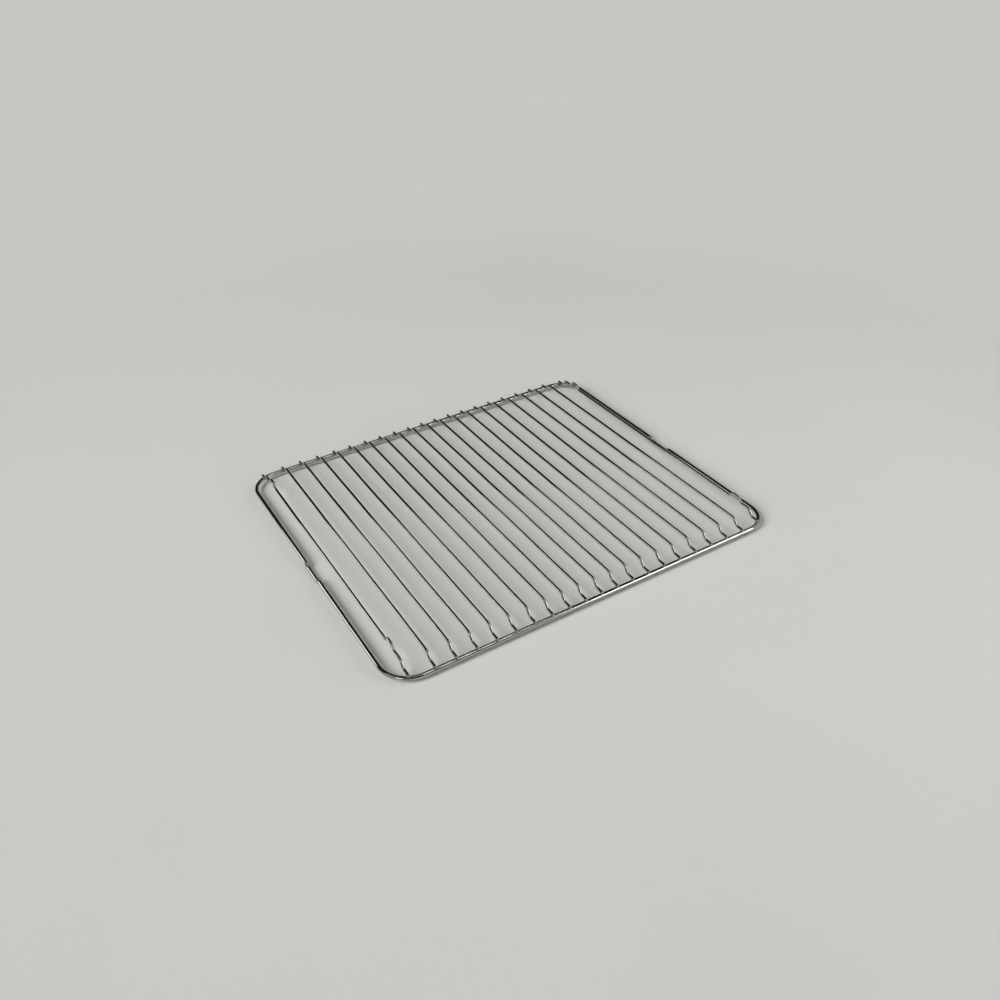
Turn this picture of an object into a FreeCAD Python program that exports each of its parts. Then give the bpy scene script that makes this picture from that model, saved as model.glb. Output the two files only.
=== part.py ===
import FreeCAD, Part
import math
import os

# Oven shelf of chromed wire, in millimetres. X runs along the front rail, Y to the back of the oven, Z up.
# The origin is the middle of the shelf, on the surface that its two side rail dips stand on.

# Outer frame, one thick wire bent to a rectangle
shelf_width = 425.0
shelf_depth = 358.0
frame_wire = 4.2
corner_radius = 28.0

# Dip in each side rail, which stops the shelf from tipping when it is pulled out
dip_length = 32.0
dip_depth = 3.0
dip_ramp = 3.0
dip_bend_radius = 4.0
dip_forward = 3.6

# Cross wires, welded on top of the front and back rails
cross_wire = 2.8
plain_wires_each_side = 9
guard_inset = 17.2
guard_gap = 23.3
gap_growth = 0.36
front_setback = 1.3
back_setback = 0.5

# Crank near each end of a cross wire, which lifts its middle above the frame
crank_rise = 6.9
crank_run = 5.6
crank_clearance = 5.5
wire_bend_radius = 4.0

# Hump near each end of the two outermost wires, which keeps a dish from sliding off
hump_height = 5.0
hump_top_length = 7.8
hump_ramp = 4.6
hump_clearance = 11.2

# Number of flats that stand for a wire's round section, even so that one is on top and one underneath
frame_flat_count = 8
cross_wire_flat_count = 6
# Share of a straight run that one bend may take up
bend_share = 0.45

rail_x = (shelf_width - frame_wire) / 2
rail_y = (shelf_depth - frame_wire) / 2
frame_z = dip_depth + frame_wire / 2
wire_end_z = frame_z + (frame_wire + cross_wire) / 2
wire_top_z = wire_end_z + crank_rise
up = FreeCAD.Vector(0, 0, 1)


def bend(before, corner, after, radius):
    """Arc tangent to both runs at a corner, made tighter where a run is too short for the radius."""
    back = before - corner
    ahead = after - corner
    half_angle = back.getAngle(ahead) / 2
    reach = min(radius / math.tan(half_angle), bend_share * back.Length, bend_share * ahead.Length)
    back.normalize()
    ahead.normalize()
    inward = back + ahead
    inward.normalize()
    depth = reach / math.cos(half_angle) - reach * math.tan(half_angle)
    return Part.Arc(corner + back * reach, corner + inward * depth, corner + ahead * reach).toShape()


def open_path(points, radius):
    """Edges through the points, with a bend at each corner between the two ends."""
    edges = []
    here = points[0]
    for before, corner, after in zip(points, points[1:], points[2:]):
        arc = bend(before, corner, after, radius)
        edges.append(Part.LineSegment(here, arc.firstVertex().Point).toShape())
        edges.append(arc)
        here = arc.lastVertex().Point
    edges.append(Part.LineSegment(here, points[-1]).toShape())
    return edges


def closed_path(points, radii):
    """Edges round the points and back to the start, with a bend at every corner."""
    befores = points[-1:] + points[:-1]
    afters = points[1:] + points[:1]
    arcs = [bend(*corner) for corner in zip(befores, points, afters, radii)]
    edges = []
    for last, arc in zip(arcs[-1:] + arcs[:-1], arcs):
        edges.append(Part.LineSegment(last.lastVertex().Point, arc.firstVertex().Point).toShape())
        edges.append(arc)
    return edges


def swept_wire(edges, diameter, flat_count):
    """Wire along a chain of straight and arc edges that starts level."""
    start = edges[0].firstVertex().Point
    across = edges[0].tangentAt(edges[0].FirstParameter).cross(up)
    flat_angle = 2 * math.pi / flat_count
    reach = diameter / 2 / math.cos(flat_angle / 2)
    turns = [flat_angle * (flat + 0.5) for flat in range(flat_count)]
    section = [start + up * (reach * math.cos(turn)) + across * (reach * math.sin(turn)) for turn in turns]
    return Part.Wire(edges).makePipe(Part.Face(Part.makePolygon(section + section[:1])))


def side_rail_dip(x):
    """Corner points of the dip in one side rail, from the front to the back."""
    front = -dip_forward - dip_length / 2
    back = -dip_forward + dip_length / 2
    low_z = frame_z - dip_depth
    return [
        FreeCAD.Vector(x, front, frame_z),
        FreeCAD.Vector(x, front + dip_ramp, low_z),
        FreeCAD.Vector(x, back - dip_ramp, low_z),
        FreeCAD.Vector(x, back, frame_z),
    ]


def outer_frame():
    right = side_rail_dip(rail_x)
    left = side_rail_dip(-rail_x)[::-1]
    front_right = FreeCAD.Vector(rail_x, -rail_y, frame_z)
    back_right = FreeCAD.Vector(rail_x, rail_y, frame_z)
    back_left = FreeCAD.Vector(-rail_x, rail_y, frame_z)
    front_left = FreeCAD.Vector(-rail_x, -rail_y, frame_z)
    points = [front_right] + right + [back_right, back_left] + left + [front_left]
    dip_radii = [dip_bend_radius] * len(right)
    radii = [corner_radius] + dip_radii + [corner_radius, corner_radius] + dip_radii + [corner_radius]
    return swept_wire(closed_path(points, radii), frame_wire, frame_flat_count)


def rail_axis_y(x):
    """How far the axis of the front or back rail lies from the middle at x, corners included."""
    into_corner = max(0.0, abs(x) - (rail_x - corner_radius))
    return rail_y - corner_radius + math.sqrt(corner_radius**2 - into_corner**2)


def half_profile(x, humped):
    """Corners of a cross wire from the middle towards one end, as distance and height."""
    foot = rail_axis_y(x) - frame_wire / 2 - crank_clearance
    crank_top = foot - crank_run
    profile = []
    if humped:
        hump_z = wire_top_z + hump_height
        hump_foot = crank_top - hump_clearance
        hump_crest = hump_foot - hump_ramp
        profile.append((hump_crest - hump_top_length - hump_ramp, wire_top_z))
        profile.append((hump_crest - hump_top_length, hump_z))
        profile.append((hump_crest, hump_z))
        profile.append((hump_foot, wire_top_z))
    profile.append((crank_top, wire_top_z))
    profile.append((foot, wire_end_z))
    return profile


def cross_wire_at(x, humped):
    """One cross wire, whose level ends lie on the front and back rails."""
    half = half_profile(x, humped)
    outside = rail_axis_y(x) + frame_wire / 2
    profile = [(-outside + front_setback, wire_end_z)]
    profile += [(-distance, height) for distance, height in reversed(half)]
    profile += half
    profile.append((outside - back_setback, wire_end_z))
    points = [FreeCAD.Vector(x, y, z) for y, z in profile]
    return swept_wire(open_path(points, wire_bend_radius), cross_wire, cross_wire_flat_count)


def plain_wire_positions():
    """X of each plain wire, with gaps that widen evenly from the middle to the sides."""
    count = plain_wires_each_side
    span = shelf_width / 2 - guard_inset - guard_gap
    middle_gap = span / count - gap_growth * (count - 1) / 2
    half = [step * middle_gap + gap_growth * step * (step - 1) / 2 for step in range(1, count + 1)]
    return [-x for x in reversed(half)] + [0.0] + half


def build():
    guard_x = shelf_width / 2 - guard_inset
    parts = {
        "outer_frame": outer_frame(),
        "left_guard_wire": cross_wire_at(-guard_x, True),
        "right_guard_wire": cross_wire_at(guard_x, True),
    }
    for number, x in enumerate(plain_wire_positions(), start=1):
        parts[f"cross_wire_{number:02d}"] = cross_wire_at(x, False)
    return parts


os.makedirs("parts", exist_ok=True)
for node, shape in build().items():
    shape.exportStep(f"parts/{node}.step")
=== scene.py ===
import bpy
import bmesh
import math
import random
from mathutils import Matrix, Vector, noise


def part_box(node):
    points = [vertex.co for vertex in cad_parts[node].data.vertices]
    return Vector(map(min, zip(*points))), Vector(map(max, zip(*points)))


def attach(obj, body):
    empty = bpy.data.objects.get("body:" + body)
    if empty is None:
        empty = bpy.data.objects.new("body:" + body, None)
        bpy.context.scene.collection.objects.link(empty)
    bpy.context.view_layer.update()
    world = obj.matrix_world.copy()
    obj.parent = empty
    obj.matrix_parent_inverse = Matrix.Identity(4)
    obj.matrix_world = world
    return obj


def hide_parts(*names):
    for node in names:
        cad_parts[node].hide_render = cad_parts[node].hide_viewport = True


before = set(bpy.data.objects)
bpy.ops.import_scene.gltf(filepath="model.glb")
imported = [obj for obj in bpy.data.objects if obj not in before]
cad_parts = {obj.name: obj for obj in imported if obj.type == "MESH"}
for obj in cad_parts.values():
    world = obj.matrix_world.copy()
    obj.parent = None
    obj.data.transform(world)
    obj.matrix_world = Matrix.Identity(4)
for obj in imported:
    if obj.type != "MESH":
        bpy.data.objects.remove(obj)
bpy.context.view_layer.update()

# Oven shelf of round chromed wire, in metres, on the axes of the solids.
frame_wire = 0.0042
cross_wire = 0.0028
corner_radius = 0.028
dip_length = 0.032
dip_depth = 0.003
dip_ramp = 0.003
dip_bend_radius = 0.004
dip_forward = 0.0036
crank_rise = 0.0069
crank_run = 0.0056
crank_clearance = 0.0055
wire_bend_radius = 0.004
back_setback = 0.0005
hump_height = 0.005
hump_top_length = 0.0078
hump_ramp = 0.0046
hump_clearance = 0.0112
bend_share = 0.45

# Fineness of the meshes
frame_sides = 28
cross_wire_sides = 20
bend_steps = 10
corner_steps = 24
run_step = 0.006
end_round_steps = 3
bead_subdivisions = 3

# Small faults of real wire: a slow sideways wave, a rounded cut end, a weld bead
wave_height = 0.00012
wave_length = 0.11
wave_length_spread = (0.8, 1.3)
end_round = 0.0003
bead_size = Vector((0.0019, 0.0017, 0.00075))
bead_roughness = 0.00012
bead_grain = 900.0
weld_reach = 0.0035

# Plating: colours of the chrome and of the dull metal at a weld, roughness of clean and of smeared chrome,
# and what a weld adds to it
chrome_tint = (0.54, 0.545, 0.54, 1)
weld_tint = (0.36, 0.35, 0.33, 1)
clean_roughness = 0.03
smeared_roughness = 0.10
weld_roughness = 0.25
# Fineness of the smears, the values between which they set in, and the long fine lines of drawn wire
smear_scale = 70.0
smear_detail = 4.0
smear_from = 0.3
smear_to = 0.75
line_stretch = (30.0, 9.0, 1.0)
line_scale = 4.0
line_detail = 5.0
line_strength = 0.12
line_depth = 0.0001

# Floor: half its width, two close tones of pale paper in soft clouds, and the distances from the middle
# between which it turns from lit paper to an even tone
floor_half = 8.0
paper_dark = (0.550, 0.550, 0.525, 1)
paper_light = (0.580, 0.580, 0.555, 1)
paper_roughness = 0.5
cloud_scale = 3.0
cloud_detail = 3.0
even_floor_from = 0.40
even_floor_to = 0.95
even_floor_level = 1.0

# Camera: place, heading from +Y towards +X, tilt below the level, roll, and lens on a 36 mm sensor
camera_place = Vector((-0.39833, -0.66430, 0.56004))
camera_heading = 30.941
camera_tilt = 35.611
camera_roll = -1.078
camera_lens = 32.790
camera_sensor = 36.0

# Light: name, place, width, height and brightness of each softbox, and the part of it that the wires show
softboxes = [
    ("left_key", (-2.50, -0.10, 1.95), 1.65, 2.0, 11.3, 0.5),
    ("right_fill", (2.00, -0.30, 1.50), 1.6, 1.4, 2.6, 0.5),
    ("top_fill", (0.30, -0.10, 2.60), 2.0, 1.6, 0.8, 0.4),
    ("front_left", (-1.15, -0.75, 0.62), 0.45, 0.35, 3.0, 3.0),
    ("front_strip", (0.45, -0.95, 1.45), 0.5, 0.4, 2.8, 2.8),
    ("front_right", (0.75, -1.00, 0.35), 0.6, 0.7, 3.6, 3.6),
]
# Pale cards close to the shelf, which only its wires show: name, place, width, height and brightness
cards = [("left_card", (-0.70, 0.49, 0.20), 0.29, 0.28, 2.2)]
# Tone of the room at the level of the floor's edge and high up, the rise of a line of sight at which it has
# turned dim, and how fast it falls at first
horizon_tone = (0.565, 0.565, 0.540, 1)
dim_room_tone = (0.0135, 0.01425, 0.015, 1)
dim_room_rise = 0.26
dim_room_fall = 4.0

random.seed(7)

frame_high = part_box("outer_frame")[1]
rail_x = frame_high.x - frame_wire / 2
rail_y = frame_high.y - frame_wire / 2
frame_z = frame_high.z - frame_wire / 2


def bend_points(before, corner, after, radius, steps):
    """Points on the arc tangent to both runs at a corner."""
    back = before - corner
    ahead = after - corner
    half_angle = back.angle(ahead) / 2
    reach = min(radius / math.tan(half_angle), bend_share * back.length, bend_share * ahead.length)
    radius = reach * math.tan(half_angle)
    back.normalize()
    ahead.normalize()
    centre = corner + (back + ahead).normalized() * (reach / math.cos(half_angle))
    first = corner + back * reach - centre
    axis = first.cross(corner + ahead * reach - centre)
    turn = math.pi - 2 * half_angle
    return [centre + Matrix.Rotation(turn * i / steps, 3, axis) @ first for i in range(steps + 1)]


def run_points(start, end):
    """Points between two bends, spaced evenly and leaving out both ends."""
    count = max(2, round((end - start).length / run_step))
    return [start.lerp(end, i / count) for i in range(1, count)]


def open_path(corners, radius):
    """Points from end to end through straight runs and bends."""
    bends = [[corners[0]]]
    for before, corner, after in zip(corners, corners[1:], corners[2:]):
        bends.append(bend_points(before, corner, after, radius, bend_steps))
    bends.append([corners[-1]])
    points = []
    for bend, following in zip(bends, bends[1:]):
        points += bend + run_points(bend[-1], following[0])
    return points + bends[-1]


def closed_path(corners, radii):
    """Points once round a closed loop of straight runs and bends."""
    befores = corners[-1:] + corners[:-1]
    afters = corners[1:] + corners[:1]
    bends = []
    for before, corner, after, radius in zip(befores, corners, afters, radii):
        steps = corner_steps if radius == corner_radius else bend_steps
        bends.append(bend_points(before, corner, after, radius, steps))
    points = []
    for bend, following in zip(bends, bends[1:] + bends[:1]):
        points += bend + run_points(bend[-1], following[0])
    return points


def wavy(points, amount):
    """The path with a slow sideways wave that dies out at both ends."""
    phase = random.uniform(0, 2 * math.pi)
    length = wave_length * random.uniform(*wave_length_spread)
    half = points[-1].y
    result = []
    for point in points:
        fade = max(0.0, 1 - (point.y / half) ** 2)
        shift = amount * fade * math.sin(2 * math.pi * point.y / length + phase)
        result.append(point + Vector((shift, 0, 0)))
    return result


def ring_rows(points, radius, closed):
    """Centre, tangent and radius of every ring, with the cut ends rounded over."""
    count = len(points)
    rows = []
    for i, point in enumerate(points):
        before = points[i - 1] if closed or i else point
        after = points[(i + 1) % count] if closed or i < count - 1 else point
        rows.append((point, (after - before).normalized(), radius))
    if closed:
        return rows
    (first, first_way, _), (last, last_way, _) = rows[0], rows[-1]
    start, finish = [], []
    for step in range(end_round_steps + 1):
        angle = math.pi / 2 * step / end_round_steps
        inset = end_round * (1 - math.sin(angle))
        shrunk = radius - end_round * (1 - math.cos(angle))
        start.insert(0, (first + first_way * inset, first_way, shrunk))
        finish.append((last - last_way * inset, last_way, shrunk))
    return start + rows[1:-1] + finish


def tube(name, points, diameter, sides, closed, welds):
    """Round wire along the points, with its length and turn as texture coordinates and its welds as a weight."""
    rows = ring_rows(points, diameter / 2, closed)
    up = Vector((0, 0, 1))
    vertices, lengths = [], []
    along = 0.0
    for i, (centre, way, radius) in enumerate(rows):
        if i:
            along += (centre - rows[i - 1][0]).length
        lengths.append(along)
        across = way.cross(up).normalized()
        top = across.cross(way)
        for side in range(sides):
            angle = 2 * math.pi * side / sides
            vertices.append(centre + (across * math.cos(angle) + top * math.sin(angle)) * radius)
    faces, corners = [], []
    rings = len(rows)
    for ring in range(rings if closed else rings - 1):
        far = (ring + 1) % rings
        far_length = lengths[far] if far else along + (rows[0][0] - rows[-1][0]).length
        for side in range(sides):
            beside = (side + 1) % sides
            faces.append((ring * sides + side, far * sides + side, far * sides + beside, ring * sides + beside))
            low, high = side / sides, (side + 1) / sides
            corners += [(lengths[ring], low), (far_length, low), (far_length, high), (lengths[ring], high)]
    if not closed:
        last = (rings - 1) * sides
        faces.append(tuple(range(sides)))
        faces.append(tuple(last + side for side in reversed(range(sides))))
        corners += [(0.0, 0.0)] * sides + [(along, 0.0)] * sides
    mesh = bpy.data.meshes.new(name)
    mesh.from_pydata(vertices, [], faces)
    layer = mesh.uv_layers.new(name="wire")
    layer.data.foreach_set("uv", [value for corner in corners for value in corner])
    weights = mesh.attributes.new("weld", "FLOAT", "POINT")
    weights.data.foreach_set("value", [weld_weight(vertex, welds) for vertex in vertices])
    mesh.shade_smooth()
    return bpy.data.objects.new(name, mesh)


def weld_weight(point, welds):
    """One at a weld, fading to nothing a few millimetres away."""
    nearest = min((point - weld).length_squared for weld in welds)
    return math.exp(-nearest / weld_reach**2)


def side_rail_dip(x):
    """Corners of the dip in one side rail, from the front to the back."""
    front = -dip_forward - dip_length / 2
    back = -dip_forward + dip_length / 2
    low_z = frame_z - dip_depth
    return [
        Vector((x, front, frame_z)),
        Vector((x, front + dip_ramp, low_z)),
        Vector((x, back - dip_ramp, low_z)),
        Vector((x, back, frame_z)),
    ]


def frame_path():
    right = side_rail_dip(rail_x)
    left = side_rail_dip(-rail_x)[::-1]
    corners = [Vector((rail_x, -rail_y, frame_z))] + right + [Vector((rail_x, rail_y, frame_z))]
    corners += [Vector((-rail_x, rail_y, frame_z))] + left + [Vector((-rail_x, -rail_y, frame_z))]
    dips = [dip_bend_radius] * len(right)
    return closed_path(corners, ([corner_radius] + dips + [corner_radius]) * 2)


def wire_path(node):
    """Path of a cross wire, worked out from the box of its solid."""
    low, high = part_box(node)
    x = (low.x + high.x) / 2
    end_z = low.z + cross_wire / 2
    top_z = end_z + crank_rise
    foot = high.y + back_setback - frame_wire - crank_clearance
    half = [(foot, end_z), (foot - crank_run, top_z)]
    if node.endswith("guard_wire"):
        hump_foot = foot - crank_run - hump_clearance
        hump_z = top_z + hump_height
        half.append((hump_foot, top_z))
        half.append((hump_foot - hump_ramp, hump_z))
        half.append((hump_foot - hump_ramp - hump_top_length, hump_z))
        half.append((hump_foot - 2 * hump_ramp - hump_top_length, top_z))
    profile = [(low.y, end_z)] + [(-y, z) for y, z in half]
    profile += half[::-1] + [(high.y, end_z)]
    return open_path([Vector((x, y, z)) for y, z in profile], wire_bend_radius)


def weld_points(node):
    """Where a cross wire touches the front and the back rail."""
    low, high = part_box(node)
    seat = high.y + back_setback - frame_wire / 2
    x = (low.x + high.x) / 2
    return [Vector((x, -seat, low.z)), Vector((x, seat, low.z))]


def weld_beads(name, points):
    """Small uneven beads of metal squeezed out where wires were pressed together."""
    beads = bmesh.new()
    for point in points:
        made = bmesh.ops.create_icosphere(beads, subdivisions=bead_subdivisions, radius=1.0)
        for vertex in made["verts"]:
            way = vertex.co.copy()
            size = Vector(a * b for a, b in zip(way, bead_size))
            bump = noise.noise((point + size) * bead_grain) * bead_roughness
            vertex.co = point + size + way * bump
    mesh = bpy.data.meshes.new(name)
    beads.to_mesh(mesh)
    beads.free()
    weights = mesh.attributes.new("weld", "FLOAT", "POINT")
    weights.data.foreach_set("value", [1.0] * len(mesh.vertices))
    mesh.uv_layers.new(name="wire")
    mesh.shade_smooth()
    return bpy.data.objects.new(name, mesh)


class Nodes:
    """Short way to add and link the nodes of one material or of the room."""

    def __init__(self, tree):
        self.tree = tree
        tree.nodes.clear()

    def add(self, kind, **values):
        node = self.tree.nodes.new(kind)
        for key, value in values.items():
            if key in node.inputs:
                node.inputs[key].default_value = value
            else:
                setattr(node, key, value)
        return node

    def link(self, source, target):
        self.tree.links.new(source, target)


def chrome():
    """Bright plate on drawn wire: long fine lines, faint smears, and dull plating round the welds."""
    material = bpy.data.materials.new("chromed_wire")
    material.use_nodes = True
    nodes = Nodes(material.node_tree)
    out = nodes.add("ShaderNodeOutputMaterial")
    shader = nodes.add("ShaderNodeBsdfPrincipled", Metallic=1.0)
    nodes.link(shader.outputs["BSDF"], out.inputs["Surface"])
    weld = nodes.add("ShaderNodeAttribute", attribute_name="weld")
    place = nodes.add("ShaderNodeTexCoord")
    smear = nodes.add("ShaderNodeTexNoise", Scale=smear_scale, Detail=smear_detail)
    nodes.link(place.outputs["Object"], smear.inputs["Vector"])
    wire = nodes.add("ShaderNodeUVMap", uv_map="wire")
    stretch = nodes.add("ShaderNodeVectorMath", operation="MULTIPLY")
    stretch.inputs[1].default_value = line_stretch
    nodes.link(wire.outputs["UV"], stretch.inputs[0])
    lines = nodes.add("ShaderNodeTexNoise", Scale=line_scale, Detail=line_detail)
    nodes.link(stretch.outputs["Vector"], lines.inputs["Vector"])
    tint = nodes.add("ShaderNodeMix", data_type="RGBA")
    tint.inputs["A"].default_value = chrome_tint
    tint.inputs["B"].default_value = weld_tint
    nodes.link(weld.outputs["Fac"], tint.inputs["Factor"])
    nodes.link(tint.outputs["Result"], shader.inputs["Base Color"])
    gloss = nodes.add("ShaderNodeMapRange")
    gloss.inputs["From Min"].default_value = smear_from
    gloss.inputs["From Max"].default_value = smear_to
    gloss.inputs["To Min"].default_value = clean_roughness
    gloss.inputs["To Max"].default_value = smeared_roughness
    nodes.link(smear.outputs["Fac"], gloss.inputs["Value"])
    dull = nodes.add("ShaderNodeMath", operation="MULTIPLY_ADD")
    dull.inputs[1].default_value = weld_roughness
    nodes.link(weld.outputs["Fac"], dull.inputs[0])
    nodes.link(gloss.outputs["Result"], dull.inputs[2])
    nodes.link(dull.outputs["Value"], shader.inputs["Roughness"])
    relief = nodes.add("ShaderNodeBump", Strength=line_strength, Distance=line_depth)
    nodes.link(lines.outputs["Fac"], relief.inputs["Height"])
    nodes.link(relief.outputs["Normal"], shader.inputs["Normal"])
    return material


def floor_material():
    """Pale paper that takes the light and shadow near the shelf and runs on at the same even tone far from it."""
    material = bpy.data.materials.new("pale_floor")
    material.use_nodes = True
    nodes = Nodes(material.node_tree)
    out = nodes.add("ShaderNodeOutputMaterial")
    place = nodes.add("ShaderNodeTexCoord")
    cloud = nodes.add("ShaderNodeTexNoise", Scale=cloud_scale, Detail=cloud_detail)
    nodes.link(place.outputs["Object"], cloud.inputs["Vector"])
    tone = nodes.add("ShaderNodeMix", data_type="RGBA")
    tone.inputs["A"].default_value = paper_dark
    tone.inputs["B"].default_value = paper_light
    nodes.link(cloud.outputs["Fac"], tone.inputs["Factor"])
    paper = nodes.add("ShaderNodeBsdfDiffuse", Roughness=paper_roughness)
    nodes.link(tone.outputs["Result"], paper.inputs["Color"])
    far_paper = nodes.add("ShaderNodeEmission", Strength=even_floor_level)
    nodes.link(tone.outputs["Result"], far_paper.inputs["Color"])
    distance = nodes.add("ShaderNodeVectorMath", operation="LENGTH")
    nodes.link(place.outputs["Object"], distance.inputs[0])
    far = nodes.add("ShaderNodeMapRange", interpolation_type="SMOOTHSTEP")
    far.inputs["From Min"].default_value = even_floor_from
    far.inputs["From Max"].default_value = even_floor_to
    nodes.link(distance.outputs["Value"], far.inputs["Value"])
    path = nodes.add("ShaderNodeLightPath")
    looked_at = nodes.add("ShaderNodeMath", operation="MAXIMUM")
    nodes.link(path.outputs["Is Camera Ray"], looked_at.inputs[0])
    nodes.link(path.outputs["Is Glossy Ray"], looked_at.inputs[1])
    seen = nodes.add("ShaderNodeMath", operation="MULTIPLY")
    nodes.link(looked_at.outputs["Value"], seen.inputs[0])
    nodes.link(far.outputs["Result"], seen.inputs[1])
    blend = nodes.add("ShaderNodeMixShader")
    nodes.link(seen.outputs["Value"], blend.inputs["Fac"])
    nodes.link(paper.outputs["BSDF"], blend.inputs[1])
    nodes.link(far_paper.outputs["Emission"], blend.inputs[2])
    nodes.link(blend.outputs["Shader"], out.inputs["Surface"])
    return material


def show(piece, material, *nodes):
    """Puts a finished piece in the scene in place of its solids."""
    bpy.context.scene.collection.objects.link(piece)
    piece.data.materials.append(material)
    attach(piece, "root")
    if nodes:
        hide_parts(*nodes)


def build_shelf():
    material = chrome()
    wires = [node for node in sorted(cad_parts) if node != "outer_frame"]
    welds = {node: weld_points(node) for node in wires}
    every_weld = [point for points in welds.values() for point in points]
    rails = tube("outer_frame_wire", frame_path(), frame_wire, frame_sides, True, every_weld)
    show(rails, material, "outer_frame")
    for node in wires:
        amount = 0.0 if node.endswith("guard_wire") else wave_height
        path = wavy(wire_path(node), amount)
        piece = tube(f"{node}_round", path, cross_wire, cross_wire_sides, False, welds[node])
        show(piece, material, node)
    show(weld_beads("weld_beads", every_weld), material)


def build_floor():
    mesh = bpy.data.meshes.new("floor")
    low, high = -floor_half, floor_half
    mesh.from_pydata([(low, low, 0), (high, low, 0), (high, high, 0), (low, high, 0)], [], [(0, 1, 2, 3)])
    mesh.materials.append(floor_material())
    floor = bpy.data.objects.new("floor", mesh)
    bpy.context.scene.collection.objects.link(floor)


def lamp(name, place, width, height, radiance, in_reflections):
    """Rectangular lamp aimed at the middle of the shelf, given by the brightness of its face."""
    light = bpy.data.lights.new(name, "AREA")
    light.shape = "RECTANGLE"
    light.size = width
    light.size_y = height
    light.energy = math.pi * width * height * radiance
    holder = bpy.data.objects.new(name, light)
    holder.location = place
    holder.rotation_euler = (-Vector(place)).to_track_quat("-Z", "Y").to_euler()
    holder.visible_glossy = in_reflections
    bpy.context.scene.collection.objects.link(holder)
    return holder


def room():
    """Dim room whose walls turn pale towards the floor, so that the floor ends without an edge."""
    world = bpy.data.worlds.new("studio")
    world.use_nodes = True
    nodes = Nodes(world.node_tree)
    out = nodes.add("ShaderNodeOutputWorld")
    place = nodes.add("ShaderNodeTexCoord")
    way = nodes.add("ShaderNodeSeparateXYZ")
    nodes.link(place.outputs["Generated"], way.inputs["Vector"])
    level = nodes.add("ShaderNodeMapRange")
    level.inputs["From Max"].default_value = dim_room_rise
    level.inputs["To Min"].default_value = 1.0
    level.inputs["To Max"].default_value = 0.0
    nodes.link(way.outputs["Z"], level.inputs["Value"])
    fall = nodes.add("ShaderNodeMath", operation="POWER")
    fall.inputs[1].default_value = dim_room_fall
    nodes.link(level.outputs["Result"], fall.inputs[0])
    tone = nodes.add("ShaderNodeMix", data_type="RGBA")
    tone.inputs["A"].default_value = dim_room_tone
    tone.inputs["B"].default_value = horizon_tone
    nodes.link(fall.outputs["Value"], tone.inputs["Factor"])
    background = nodes.add("ShaderNodeBackground")
    nodes.link(tone.outputs["Result"], background.inputs["Color"])
    nodes.link(background.outputs["Background"], out.inputs["Surface"])
    return world


def build_light():
    for name, place, width, height, radiance, shown in softboxes:
        lamp(f"{name}_face", place, width, height, shown, True)
        if shown < radiance:
            lamp(f"{name}_glow", place, width, height, radiance - shown, False)
    for name, place, width, height, radiance in cards:
        card = lamp(name, place, width, height, radiance, True)
        card.visible_diffuse = False
    bpy.context.scene.world = room()
    bpy.context.scene.view_settings.view_transform = "Standard"


def build_camera():
    data = bpy.data.cameras.new("camera")
    data.sensor_width = camera_sensor
    data.lens = camera_lens
    camera = bpy.data.objects.new("camera", data)
    heading = Matrix.Rotation(math.radians(-camera_heading), 4, "Z")
    tilt = Matrix.Rotation(math.radians(90 - camera_tilt), 4, "X")
    roll = Matrix.Rotation(math.radians(camera_roll), 4, "Z")
    camera.matrix_world = Matrix.Translation(camera_place) @ heading @ tilt @ roll
    bpy.context.scene.collection.objects.link(camera)
    bpy.context.scene.camera = camera


build_shelf()
build_floor()
build_light()
build_camera()
